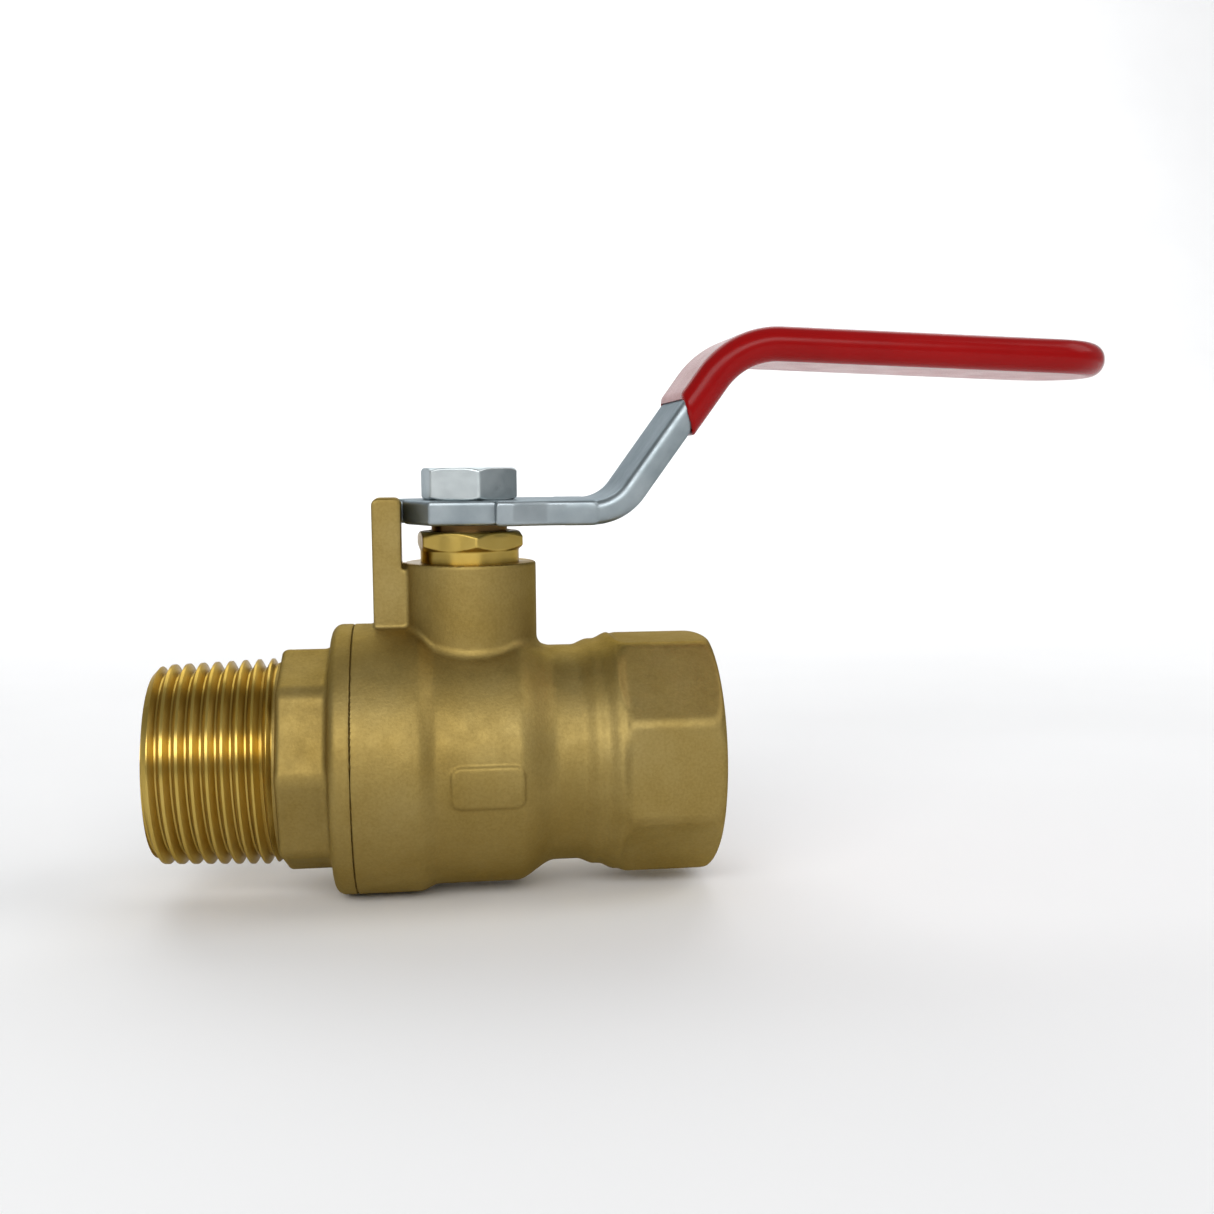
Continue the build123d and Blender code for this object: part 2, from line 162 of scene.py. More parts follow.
# ---- lever, grip and nuts ------------------------------------------------------------
PLATE = 3.2
PLATE_Z = LEVER_LOW.z
BEND_LOW = (18.9, PLATE_Z + PLATE / 2)      # corners of the lever's middle line, X and Z
BEND_HIGH = (34.6, 54.2)
BEND_R = (6.7, 10.5)
GRIP_FALL = math.radians(2.2)
LEVER_TIP_X = LEVER_HIGH.x
TIP_STRAIGHT = 0.6           # half the straight edge left across the rounded tip
ARM_HALF = 9.0
ARM_EDGE = 1.1
ARM_FIELD_X = 12.0           # the arm's rounded edges begin here, within the hub's plate
HUB_EDGE = 0.5
HUB_FILLET = 0.2             # hub to arm
HUB_CLEAR = 8.6              # hub radius where it sweeps past the post
HUB_SLOPE = (-5.3, -0.5)     # the hub narrows from this Y to this X on its front
HUB_FRONT_Y = -6.75
HUB_BACK_X = -11.2           # tip of the lug that meets the post when open
HUB_BACK_CUT = (-6.0, 6.4)   # X and Y where the hub's back corner is cut off
EAR_X = 5.2
EAR_TIP_Y = -10.2
ARM_START_X = 9.6            # the arm has its full width from here
HUB_END_X = 16.0
STOP_GAP = 0.05              # gap left between a stop face and the post
VINYL = 0.65
GRIP_EDGE = 2.15
GRIP_START = ((27.1, 47.0), (28.4, 42.5))   # the grip's slanted end, upper and lower edge
GRIP_START_EDGE = 0.45
SKIN_EDGE = 0.15             # thin rim where the skin ends on the plate
HANDLE_NUT_AF = 11.55
HANDLE_NUT_TURN = 10.0       # degrees
GLAND_HEX_Z = (27.6, 30.1)
GLAND_HEX_AF = 13.1
GLAND_HEX_TURN = 5.5         # degrees
GLAND_SHANK_R = 6.5
GLAND_FILLET = 0.25
GLAND_HOLE_R = 5.08
NUT_HOLE_R = 3.52
STEM_R = 5.0
STEM_FLATS_HALF = 3.4
NUT_COUNTERSINK = 0.6
GLAND_COUNTERSINK = 0.3
NUT_CORNER = 0.2             # rounding of a nut's six corners
NUT_CONE_EDGE = 0.12
NUT_END_EDGE = 0.15
HOLE_EDGE = 0.1
PLATE_HOLE_EDGE = 0.12


# ==== distance fields =================================================================
# Each field is negative inside its shape.  Lengths are millimetres.

FAR = 1e9                    # further than any point of a field


def union(a, b, fillet):
    """Both shapes, with a round fillet where they meet."""
    corner = np.hypot(np.maximum(fillet - a, 0), np.maximum(fillet - b, 0))
    return np.maximum(fillet, np.minimum(a, b)) - corner


def meet(a, b, rounding):
    """What lies in both shapes, with a rounded edge where they cross."""
    corner = np.hypot(np.maximum(rounding + a, 0), np.maximum(rounding + b, 0))
    return np.minimum(-rounding, np.maximum(a, b)) + corner


def stepped_round(along, across, first, steps):
    """Turned shape whose radius eases from one value to the next over each step."""
    radius = np.full_like(along, first)
    slope = np.zeros_like(along)
    before = first
    for start, end, after in steps:
        t = np.clip((along - start) / (end - start), 0, 1)
        radius += (after - before) * t * t * (3 - 2 * t)
        slope += (after - before) * 6 * t * (1 - t) / (end - start)
        before = after
    return (across - radius) / np.sqrt(1 + slope * slope)


def prism(u, v, sides, across_flats, turn, rounding):
    """Regular prism with a flat facing along v before it is turned, its edges rounded."""
    field = None
    for index in range(sides):
        angle = turn + index * 2 * math.pi / sides
        flat = u * math.sin(angle) + v * math.cos(angle) - across_flats / 2
        field = flat if field is None else meet(field, flat, rounding)
    return field


def cone_limit(along, across, at, radius, outwards):
    """Half space under a 30 degree cone that narrows towards an end face."""
    return (across - radius + outwards * (along - at) / math.tan(math.radians(30))) * 0.5


def slab(value, low, high):
    """Distance to a flat layer."""
    return np.abs(value - (low + high) / 2) - (high - low) / 2


def wrapped(field, low, high, voxel):
    """Meshes the zero level of a field within a box, as points in mm and quads."""
    margin = 3
    low = np.array(low, float) - margin * voxel
    count = np.ceil((np.array(high, float) - low) / voxel).astype(int) + margin
    axes = [(low[i] + voxel * np.arange(count[i])).astype(np.float32) for i in range(3)]
    x, y, z = np.meshgrid(*axes, indexing="ij")
    values = field(x, y, z) / voxel
    grid = openvdb.FloatGrid(float(margin))
    grid.copyFromArray(np.clip(values, -margin, margin).astype(np.float32))
    points, quads = grid.convertToQuads(0.0)
    points = low + voxel * points.astype(float)
    quads = quads[:, ::-1].astype(int)
    for _ in range(2):
        points = relaxed(points, quads)
        for _ in range(3):
            points = onto_surface(field, points, voxel / 8)
    return points, quads


def relaxed(points, quads):
    """Moves each point half way to the mean of its neighbours."""
    total = np.zeros_like(points)
    count = np.zeros(len(points))
    for side in range(4):
        here, there = quads[:, side], quads[:, (side + 1) % 4]
        for one, other in ((here, there), (there, here)):
            for axis in range(3):
                total[:, axis] += np.bincount(one, points[other, axis], len(points))
            count += np.bincount(one, minlength=len(points))
    return 0.5 * points + 0.5 * total / np.maximum(count, 1)[:, None]


def onto_surface(field, points, reach):
    """One Newton step of each point towards the field's zero level."""
    x, y, z = points.T
    value = field(x, y, z)
    slope = np.stack(
        [
            field(x + reach, y, z) - field(x - reach, y, z),
            field(x, y + reach, z) - field(x, y - reach, z),
            field(x, y, z + reach) - field(x, y, z - reach),
        ],
        axis=1,
    ) / (2 * reach)
    size = np.maximum((slope * slope).sum(axis=1), 0.25)
    step = np.clip(value / size, -reach, reach)
    return points - slope * step[:, None]


# ==== meshes ==========================================================================


def mesh_object(name, points, faces):
    """Object in metres from points in millimetres."""
    mesh = bpy.data.meshes.new(name)
    mesh.from_pydata((np.asarray(points) * MM).tolist(), [], faces)
    mesh.validate()
    piece = bpy.data.objects.new(name, mesh)
    bpy.context.scene.collection.objects.link(piece)
    return piece


def field_piece(name, field, low, high, voxel):
    """Object meshed from a distance field."""
    points, quads = wrapped(field, low, high, voxel)
    return mesh_object(name, points, quads.tolist())


def turned(name, axis, outline, segments=160):
    """Closed solid turned about X or Z from (along, radius) corners, the ends on the axis."""
    points = []
    rings = []
    for along, radius in outline:
        if radius == 0:
            rings.append([len(points)])
            points.append((along, 0, 0))
            continue
        ring = []
        for index in range(segments):
            angle = 2 * math.pi * index / segments
            ring.append(len(points))
            points.append((along, radius * math.cos(angle), radius * math.sin(angle)))
        rings.append(ring)
    faces = []
    for first, second in zip(rings, rings[1:]):
        for index in range(segments):
            after = (index + 1) % segments
            if len(first) == 1:
                faces.append((first[0], second[after], second[index]))
            elif len(second) == 1:
                faces.append((first[index], first[after], second[0]))
            else:
                faces.append((first[index], first[after], second[after], second[index]))
    if axis == "Z":
        points = [(y, z, x) for x, y, z in points]
    return mesh_object(name, points, faces)


def thread_corner(step, place):
    """Index of a corner of the thread profile at a step of the helix."""
    return step * len(THREAD_PROFILE) + place


def thread_sides(steps, segments):
    """Faces along the helix, and those that join each turn to the next."""
    last = len(THREAD_PROFILE) - 1
    faces = []
    for step in range(steps):
        for place in range(last):
            corners = ((step, place), (step, place + 1), (step + 1, place + 1), (step + 1, place))
            faces.append([thread_corner(*corner) for corner in corners])
        after = step + segments
        if after < steps:
            corners = ((step, last), (after, 0), (after + 1, 0), (step + 1, last))
            faces.append([thread_corner(*corner) for corner in corners])
    return faces


def thread_ends(steps, segments):
    """Loops of corners round the open start and the open end of the helix."""
    last = len(THREAD_PROFILE) - 1
    start = [thread_corner(step, 0) for step in range(segments + 1)]
    start += [thread_corner(0, place) for place in range(last, 0, -1)]
    end = [thread_corner(step, last) for step in range(steps - segments, steps + 1)]
    end += [thread_corner(steps, place) for place in range(last - 1, -1, -1)]
    return start, end


def screw(name, crest, depth, turns_before, turns_after, segments=120):
    """Closed solid with a helical taper thread about X, to be trimmed by other solids.

    crest is the X and radius of a crest at the top of the pipe.  depth is how far the
    valleys lie below the crests, or above them where it is negative."""
    first = -turns_before * segments
    last = turns_after * segments
    points = []
    for step in range(first, last + 1):
        angle = 2 * math.pi * step / segments
        for share, drop in THREAD_PROFILE:
            x = crest[0] + PITCH * (step / segments + share)
            radius = crest[1] + (x - crest[0]) * TAPER - drop * depth
            points.append((x, -radius * math.sin(angle), radius * math.cos(angle)))
    faces = thread_sides(last - first, segments)
    middles = (points[0][0] - PITCH, points[-1][0] + PITCH)
    for loop, x in zip(thread_ends(last - first, segments), middles):
        centre = len(points)
        points.append((x, 0.0, 0.0))
        for one, two in zip(loop, loop[1:] + loop[:1]):
            faces.append((one, two, centre))
    solid = mesh_object(name, points, faces)
    make_outward(solid)
    return solid


def make_outward(piece):
    """Points every face of a closed mesh outwards."""
    bpy.ops.object.select_all(action="DESELECT")
    bpy.context.view_layer.objects.active = piece
    piece.select_set(True)
    bpy.ops.object.mode_set(mode="EDIT")
    bpy.ops.mesh.select_all(action="SELECT")
    bpy.ops.mesh.normals_make_consistent(inside=False)
    bpy.ops.object.mode_set(mode="OBJECT")


def combine(piece, operation, *others):
    """Joins, cuts or intersects a piece with other solids, which are used up."""
    for other in others:
        modifier = piece.modifiers.new("combine", "BOOLEAN")
        modifier.operation = operation
        modifier.solver = "MANIFOLD"
        modifier.object = other
        bpy.context.view_layer.update()
        evaluated = piece.evaluated_get(bpy.context.evaluated_depsgraph_get())
        result = bpy.data.meshes.new_from_object(evaluated)
        result.name = piece.name
        piece.modifiers.clear()
        old = piece.data
        piece.data = result
        bpy.data.meshes.remove(old)
        bpy.data.objects.remove(other)
    return piece


def shade(piece, angle=32):
    """Smooth shading, broken where faces meet at more than the angle in degrees."""
    mesh = piece.data
    mesh.shade_smooth()
    mesh.set_sharp_from_angle(angle=math.radians(angle))
    return piece


def shaped(name, field, low, high, voxel):
    """Smoothly shaded object meshed from a distance field."""
    return shade(field_piece(name, field, low, high, voxel), 50)


def tube_cutter(name, axis, outline):
    """Cutter from (along, radius) corners; the ends on the axis are added."""
    first, last = outline[0][0], outline[-1][0]
    solid = turned(name, axis, [(first, 0), *outline, (last, 0)])
    make_outward(solid)
    return solid


# ==== pieces ==========================================================================


def body_field(x, y, z):
    """Outside of the body forging."""
    around = np.hypot(y, z)
    barrel = stepped_round(x, around, FLANGE_R, BODY_STEPS)
    runout = np.maximum(OCT_RUNOUT_X - x, 0)
    octagon = prism(y, z, 8, BODY_OCT_AF, 0.0, BODY_OCT_CORNER) - OCT_RUNOUT_RATE * runout * runout
    barrel = meet(barrel, x - FEMALE_END_X, FEMALE_END_ROUND)
    barrel = meet(barrel, octagon, CAST_EDGE)
    barrel = meet(barrel, SEAM_X - x, SEAM_EDGE)
    boss = meet(np.hypot(x, y) - BOSS_R, np.maximum(z - BOSS_TOP_Z, CORE_Z - z), CAST_EDGE)
    solid = union(barrel, boss, BOSS_FILLET)
    solid = union(solid, post_field(x, y, z), POST_FILLET)
    return union(solid, panel_field(x, y, z), PANEL_FILLET)


def post_field(x, y, z):
    """Stop post, joined to the boss by a web at its foot."""
    left, right = POST_X
    column = meet(slab(x, left, right), z - POST_TOP_Z, POST_CORNER)
    web = np.maximum(slab(x, left + POST_WEB_INSET, right + BOSS_R / 2), z - POST_WEB_Z)
    side_view = np.maximum(union(column, web, POST_WEB_FILLET), CORE_Z - z)
    return meet(side_view, np.abs(y) - POST_HALF_Y, CAST_EDGE)


def panel_field(x, y, z):
    """Plain raised panel on the front of the barrel."""
    across, up = PANEL_SIZE
    middle_x, middle_z = PANEL_CENTRE
    outline = rounded_rectangle(x - middle_x, z - middle_z, across, up, PANEL_CORNER)
    front = np.maximum(outline, y + BARREL_R / 2)
    return meet(np.hypot(y, z) - BARREL_R - PANEL_RAISED, front, PANEL_EDGE)


def rounded_rectangle(u, v, across, up, radius):
    """Distance to a rectangle with rounded corners."""
    du = np.abs(u) - across / 2 + radius
    dv = np.abs(v) - up / 2 + radius
    return np.hypot(np.maximum(du, 0), np.maximum(dv, 0)) + np.minimum(np.maximum(du, dv), 0) - radius


def female_thread():
    """Cutter for the female thread, run out at its bottom."""
    thread = screw("female_thread", FEMALE_CREST, -THREAD_DEPTH, turns_before=8, turns_after=3)
    crest_r = FEMALE_CREST[1]
    trim = tube_cutter(
        "female_trim", "X",
        [
            (FEMALE_BOTTOM_X, crest_r - 0.4),
            (FEMALE_BOTTOM_X + FEMALE_RUNOUT, crest_r + THREAD_DEPTH),
            (FEMALE_END_X + OVERSHOOT, crest_r + THREAD_DEPTH + 0.1),
        ],
    )
    return combine(thread, "INTERSECT", trim)


def female_mouth():
    """Cone that opens the female thread to the end face."""
    return tube_cutter(
        "mouth", "X",
        [
            (FEMALE_END_X - FEMALE_MOUTH_DEPTH, FEMALE_CREST[1] - 0.6),
            (FEMALE_END_X, FEMALE_MOUTH_R),
            (FEMALE_END_X + OVERSHOOT, FEMALE_MOUTH_R + 0.4),
        ],
    )


def make_body():
    """Body: the forging, then its joint bore, cavity, port, thread and stem bores."""
    piece = field_piece("valve_body", body_field, BODY_LOW, BODY_HIGH, voxel=0.26)
    cavity_end, pocket_start = CAVITY_X
    waterway = tube_cutter(
        "waterway", "X",
        [
            (SEAM_X - OVERSHOOT, JOINT_BORE_R),
            (SHOULDER_X, JOINT_BORE_R),
            (SHOULDER_X, CAVITY_R),
            (cavity_end, CAVITY_R),
            (pocket_start, SEAT_POCKET_R),
            (SEAT_BACK_X, SEAT_POCKET_R),
            (SEAT_BACK_X, PORT_R),
            (FEMALE_BOTTOM_X + OVERLAP, PORT_R),
        ],
    )
    stem_bore = tube_cutter(
        "stem_bore", "Z",
        [
            (CORE_Z, COLLAR_BORE_R),
            (BODY_SHOULDER_Z, COLLAR_BORE_R),
            (BODY_SHOULDER_Z, STEM_HOLE_R),
            (CHAMBER_Z, STEM_HOLE_R),
            (CHAMBER_Z, CHAMBER_R),
            (BOSS_TOP_Z + OVERSHOOT, CHAMBER_R),
        ],
    )
    cutters = (waterway, female_thread(), female_mouth(), stem_bore)
    return shade(combine(piece, "DIFFERENCE", *cutters))


def adapter_field(x, y, z):
    """Octagon and flange of the end adapter."""
    around = np.hypot(y, z)
    flange = meet(around - FLANGE_R, x - SEAM_X, SEAM_EDGE)
    flange = meet(flange, FLANGE_X - x, FLANGE_EDGE)
    octagon = prism(y, z, 8, ADAPTER_OCT_AF, math.radians(-ADAPTER_OCT_TURN), ADAPTER_OCT_EDGE)
    octagon = meet(octagon, ADAPTER_OCT_X - x, ADAPTER_OCT_EDGE)
    octagon = np.maximum(octagon, x - SEAM_X + OVERLAP)
    return union(octagon, flange, ADAPTER_FILLET)


def male_thread():
    """Male thread, chamfered at its start and run out at its end."""
    thread = screw("male_thread", MALE_CREST, THREAD_DEPTH, turns_before=10, turns_after=2)
    crest_x, crest_r = MALE_CREST
    trim = tube_cutter(
        "male_trim", "X",
        [
            (MALE_END_X, MALE_RIM_R),
            (MALE_END_X + 0.9, MALE_RIM_R + 0.95),
            (crest_x + 0.3, crest_r + 0.02),
            (crest_x + MALE_RUNOUT, crest_r - THREAD_DEPTH / 2),
            (ADAPTER_OCT_X + OVERLAP, crest_r - THREAD_DEPTH / 2),
        ],
    )
    return combine(thread, "INTERSECT", trim)


def thread_relief():
    """Plain neck between the male thread and the octagon."""
    crest_x, crest_r = MALE_CREST
    return tube_cutter(
        "thread_relief", "X",
        [
            (crest_x - 1.0, crest_r - THREAD_DEPTH - 0.05),
            (crest_x + MALE_RUNOUT, crest_r - 0.55),
            (ADAPTER_OCT_X + OVERLAP, crest_r - 0.55),
        ],
    )


def make_adapter():
    """End adapter: octagon and flange, spigot, male thread and bores."""
    low = (ADAPTER_OCT_X, ADAPTER_LOW.y, ADAPTER_LOW.z)
    high = (SEAM_X, ADAPTER_HIGH.y, ADAPTER_HIGH.z)
    piece = field_piece("end_fitting", adapter_field, low, high, voxel=0.22)
    spigot = tube_cutter(
        "spigot", "X",
        [
            (SEAM_X - OVERSHOOT, SPIGOT_R),
            (SPIGOT_END_X - 0.3, SPIGOT_R),
            (SPIGOT_END_X, SPIGOT_R - 0.3),
        ],
    )
    piece = combine(piece, "UNION", male_thread(), thread_relief(), spigot)
    bore = tube_cutter(
        "adapter_bore", "X",
        [
            (MALE_END_X - OVERSHOOT, MALE_BORE_R + 1.2),
            (MALE_END_X + 0.6, MALE_BORE_R),
            (MALE_BORE_X, MALE_BORE_R),
            (PORT_START_X, PORT_R),
            (-SEAT_BACK_X, PORT_R),
            (-SEAT_BACK_X, SEAT_POCKET_R),
            (SPIGOT_END_X + OVERSHOOT, SEAT_POCKET_R),
        ],
    )
    return shade(combine(piece, "DIFFERENCE", bore))


def lever_runs():
    """Straights and bends of the lever's middle line in XZ, each with the function that
    measures from it.  The first straight has no start and the last one has no end."""
    rise = math.atan2(BEND_HIGH[1] - BEND_LOW[1], BEND_HIGH[0] - BEND_LOW[0])
    angles = (0.0, rise, -GRIP_FALL)
    ways = [np.array((math.cos(angle), math.sin(angle))) for angle in angles]
    start = np.array((-30.0, BEND_LOW[1]))
    travelled = start[0]
    low = -math.inf
    runs = []
    for index, corner in enumerate((BEND_LOW, BEND_HIGH)):
        way = ways[index]
        turn = angles[index + 1] - angles[index]
        tangent = BEND_R[index] * math.tan(abs(turn) / 2)
        end = np.array(corner) - tangent * way
        length = float((end - start) @ way)
        runs.append((from_line, start, way, travelled, low, length))
        travelled += length
        side = math.copysign(1, turn)
        normal = side * np.array((-way[1], way[0]))
        radius = side * BEND_R[index]
        runs.append((from_bend, end + BEND_R[index] * normal, -normal, travelled, radius, turn))
        travelled += BEND_R[index] * abs(turn)
        start = np.array(corner) + tangent * ways[index + 1]
        low = 0.0
    runs.append((from_line, start, ways[-1], travelled, low, math.inf))
    return runs


def from_line(x, z, origin, way, offset, low, high):
    """Length along a straight, height above it, and distance from it."""
    s = (x - origin[0]) * way[0] + (z - origin[1]) * way[1]
    n = (z - origin[1]) * way[0] - (x - origin[0]) * way[1]
    outside = np.maximum(np.maximum(low - s, s - high), 0)
    return s + offset, n, np.hypot(n, outside)


def from_bend(x, z, centre, toward, offset, radius, turn):
    """The same for a bend.  Radius and turn are negative where the lever bends down."""
    dx, dz = x - centre[0], z - centre[1]
    swept = np.arctan2(toward[0] * dz - toward[1] * dx, toward[0] * dx + toward[1] * dz)
    part = swept / turn
    n = (abs(radius) - np.hypot(dx, dz)) * math.copysign(1, radius)
    s = offset + np.clip(part, 0, 1) * abs(radius * turn)
    return s, n, np.where((part < 0) | (part > 1), FAR, np.abs(n))


LEVER_RUNS = lever_runs()


def lever_place(x, z):
    """Length along the lever's middle line, and height above it, for points in XZ."""
    best = np.full_like(x, FAR)
    along = np.zeros_like(x)
    above = np.zeros_like(x)
    for measure, *run in LEVER_RUNS:
        s, n, distance = measure(x, z, *run)
        nearer = distance < best
        best = np.where(nearer, distance, best)
        along = np.where(nearer, s, along)
        above = np.where(nearer, n, above)
    return along, above


def tip_length():
    """Length along the lever's middle line at its tip."""
    place = np.array([LEVER_TIP_X])
    height = np.array([BEND_HIGH[1] - (LEVER_TIP_X - BEND_HIGH[0]) * math.tan(GRIP_FALL)])
    along, _ = lever_place(place, height)
    return float(along[0])


TIP_ALONG = tip_length()


def polygon_distance(u, v, corners):
    """Signed distance to a polygon."""
    distance = np.full_like(u, FAR)
    inside = np.zeros(u.shape, bool)
    for (ax, ay), (bx, by) in zip(corners, corners[1:] + corners[:1]):
        ex, ey = bx - ax, by - ay
        t = np.clip(((u - ax) * ex + (v - ay) * ey) / (ex * ex + ey * ey), 0, 1)
        distance = np.minimum(distance, np.hypot(u - ax - t * ex, v - ay - t * ey))
        if ay != by:
            crosses = ((ay > v) != (by > v)) & (u < (bx - ax) * (v - ay) / (by - ay) + ax)
            inside ^= crosses
    return np.where(inside, -distance, distance)


def hub_outline():
    """Hub seen from above: stop lug at the back, flat front, and the ear."""
    stop = POST_HALF_Y + STOP_GAP
    slope_x, slope_y = HUB_SLOPE
    cut_x, cut_y = HUB_BACK_CUT
    return [
        (HUB_BACK_X, stop),
        (-HUB_CLEAR, stop),
        (-HUB_CLEAR, slope_y),
        (slope_x, HUB_FRONT_Y),
        (stop, HUB_FRONT_Y),
        (stop, EAR_TIP_Y),
        (EAR_X, EAR_TIP_Y),
        (ARM_START_X, -ARM_HALF),
        (HUB_END_X, -ARM_HALF),
        (HUB_END_X, ARM_HALF),
        (cut_x, ARM_HALF),
        (HUB_BACK_X, cut_y),
    ]


def bar_field(along, y, half, tip):
    """Flat bar seen from above, distance past its sides and its rounded tip."""
    round_r = half - TIP_STRAIGHT
    du = along - tip + round_r
    dv = np.abs(y) - half + round_r
    return np.where((du > 0) & (dv > 0), np.hypot(du, dv) - round_r, np.maximum(du, dv) - round_r)


def lever_field(x, y, z):
    """Stamped lever plate, bent along its middle line."""
    along, above = lever_place(x, z)
    plate = np.abs(above) - PLATE / 2
    arm = meet(bar_field(along, y, ARM_HALF, TIP_ALONG), plate, ARM_EDGE)
    arm = np.maximum(arm, ARM_FIELD_X - along)
    hub = meet(polygon_distance(along, y, hub_outline()), plate, HUB_EDGE)
    return union(arm, hub, HUB_FILLET)


def plate_field(x, y, z):
    """Lever with the double-flat hole over the stem."""
    hole = meet(np.hypot(x, y) - STEM_R, np.abs(y) - STEM_FLATS_HALF, HOLE_EDGE)
    return meet(lever_field(x, y, z), -hole, PLATE_HOLE_EDGE)


def grip_field(x, y, z):
    """Outside of the dipped grip, its edges nearly full round and its start slanted."""
    along, above = lever_place(x, z)
    outline = bar_field(along, y, ARM_HALF + VINYL, TIP_ALONG + VINYL)
    bar = meet(outline, np.abs(above) - PLATE / 2 - VINYL, GRIP_EDGE)
    (upper_x, upper_z), (lower_x, lower_z) = GRIP_START
    length = math.hypot(lower_x - upper_x, lower_z - upper_z)
    across_x, across_z = (upper_z - lower_z) / length, (lower_x - upper_x) / length
    start = (upper_x - x) * across_x + (upper_z - z) * across_z
    return meet(bar, start, GRIP_START_EDGE)


def skin_field(x, y, z):
    """Vinyl skin: the outside, less the lever inside it."""
    return meet(grip_field(x, y, z), -lever_field(x, y, z), SKIN_EDGE)


def hex_nut_field(x, y, z, low, high, across_flats, turn, chamfer_r):
    """Hexagon with a vertex towards -Y before it is turned, and cones at both ends."""
    around = np.hypot(x, y)
    solid = prism(x, -y, 6, across_flats, math.radians(30 + turn), NUT_CORNER)
    solid = meet(solid, cone_limit(z, around, high, chamfer_r, 1), NUT_CONE_EDGE)
    solid = meet(solid, cone_limit(z, around, low, chamfer_r, -1), NUT_CONE_EDGE)
    return meet(solid, slab(z, low, high), NUT_END_EDGE)


def hole_field(x, y, z, top, radius, countersink):
    """What lies outside a hole along Z that widens at its top."""
    return np.maximum(radius, radius + countersink - (top - z)) - np.hypot(x, y)


def handle_nut_field(x, y, z):
    """Zinc-plated nut on top of the lever, its hole countersunk."""
    low, high = NUT_LOW.z, NUT_HIGH.z
    chamfer_r = HANDLE_NUT_AF / 2 + 0.2
    solid = hex_nut_field(x, y, z, low, high, HANDLE_NUT_AF, HANDLE_NUT_TURN, chamfer_r)
    return meet(solid, hole_field(x, y, z, high, NUT_HOLE_R, NUT_COUNTERSINK), HOLE_EDGE)


def packing_nut_field(x, y, z):
    """Gland nut: hexagon over a round shank, bored for the stem."""
    low, high = GLAND_HEX_Z
    chamfer_r = GLAND_HEX_AF / 2 - 0.15
    head = hex_nut_field(x, y, z, low, high, GLAND_HEX_AF, GLAND_HEX_TURN, chamfer_r)
    shank = meet(np.hypot(x, y) - GLAND_SHANK_R, slab(z, GLAND_LOW.z, high - 0.5), 0.2)
    hole = hole_field(x, y, z, high, GLAND_HOLE_R, GLAND_COUNTERSINK)
    return meet(union(head, shank, GLAND_FILLET), hole, HOLE_EDGE)


# ==== materials =======================================================================


class Nodes:
    """Short way to add and join the nodes of one material."""

    def __init__(self, name):
        self.material = bpy.data.materials.new(name)
        self.material.use_nodes = True
        self.tree = self.material.node_tree
        self.shader = self.tree.nodes["Principled BSDF"]
        self.place = self.add("ShaderNodeTexCoord").outputs["Object"]

    def add(self, kind, **settings):
        """Adds a node; each setting is one of its properties or one of its inputs."""
        node = self.tree.nodes.new(kind)
        for key, value in settings.items():
            if hasattr(node, key):
                setattr(node, key, value)
            else:
                node.inputs[key.replace("_", " ")].default_value = value
        return node

    def join(self, output, target):
        self.tree.links.new(output, target)

    def noise(self, scale, detail=3.0, roughness=0.55, stretch=None):
        """Noise over the piece; scale is in features per metre."""
        node = self.add("ShaderNodeTexNoise", Scale=scale, Detail=detail, Roughness=roughness)
        place = self.place
        if stretch is not None:
            mapping = self.add("ShaderNodeMapping")
            mapping.inputs["Scale"].default_value = stretch
            self.join(place, mapping.inputs["Vector"])
            place = mapping.outputs["Vector"]
        self.join(place, node.inputs["Vector"])
        return node.outputs["Fac"]

    def ramp(self, source, *stops):
        """Colour ramp from (position, colour) stops."""
        node = self.add("ShaderNodeValToRGB")
        elements = node.color_ramp.elements
        while len(elements) < len(stops):
            elements.new(0.5)
        for element, (position, colour) in zip(elements, stops):
            element.position = position
            element.color = (*colour, 1.0)
        self.join(source, node.inputs["Fac"])
        return node.outputs["Color"]

    def spread(self, source, low, high, from_low=0.3, from_high=0.7):
        """Maps the middle of a noise to a range of values."""
        node = self.add("ShaderNodeMapRange")
        values = {"From Min": from_low, "From Max": from_high, "To Min": low, "To Max": high}
        for key, value in values.items():
            node.inputs[key].default_value = value
        self.join(source, node.inputs["Value"])
        return node.outputs["Result"]

    def mix(self, share, first, second, blend="MIX"):
        """Mixes two colours; the share may be a number or a socket."""
        node = self.add("ShaderNodeMix", data_type="RGBA", blend_type=blend)
        for socket, value in ((node.inputs[0], share), (node.inputs[6], first), (node.inputs[7], second)):
            if hasattr(value, "links"):
                self.join(value, socket)
            elif isinstance(value, tuple):
                socket.default_value = (*value, 1.0)
            else:
                socket.default_value = value
        return node.outputs[2]

    def bump(self, *layers):
        """Stacks bump layers given as (height socket, distance in metres, strength)."""
        normal = None
        for height, distance, strength in layers:
            node = self.add("ShaderNodeBump", Strength=strength, Distance=distance)
            self.join(height, node.inputs["Height"])
            if normal is not None:
                self.join(normal, node.inputs["Normal"])
            normal = node.outputs["Normal"]
        self.join(normal, self.shader.inputs["Normal"])

    def set(self, **values):
        """Sets sockets of the shader, spaces in their names written as underscores."""
        for key, value in values.items():
            socket = self.shader.inputs[key.replace("_", " ")]
            socket.default_value = (*value, 1.0) if isinstance(value, tuple) else value


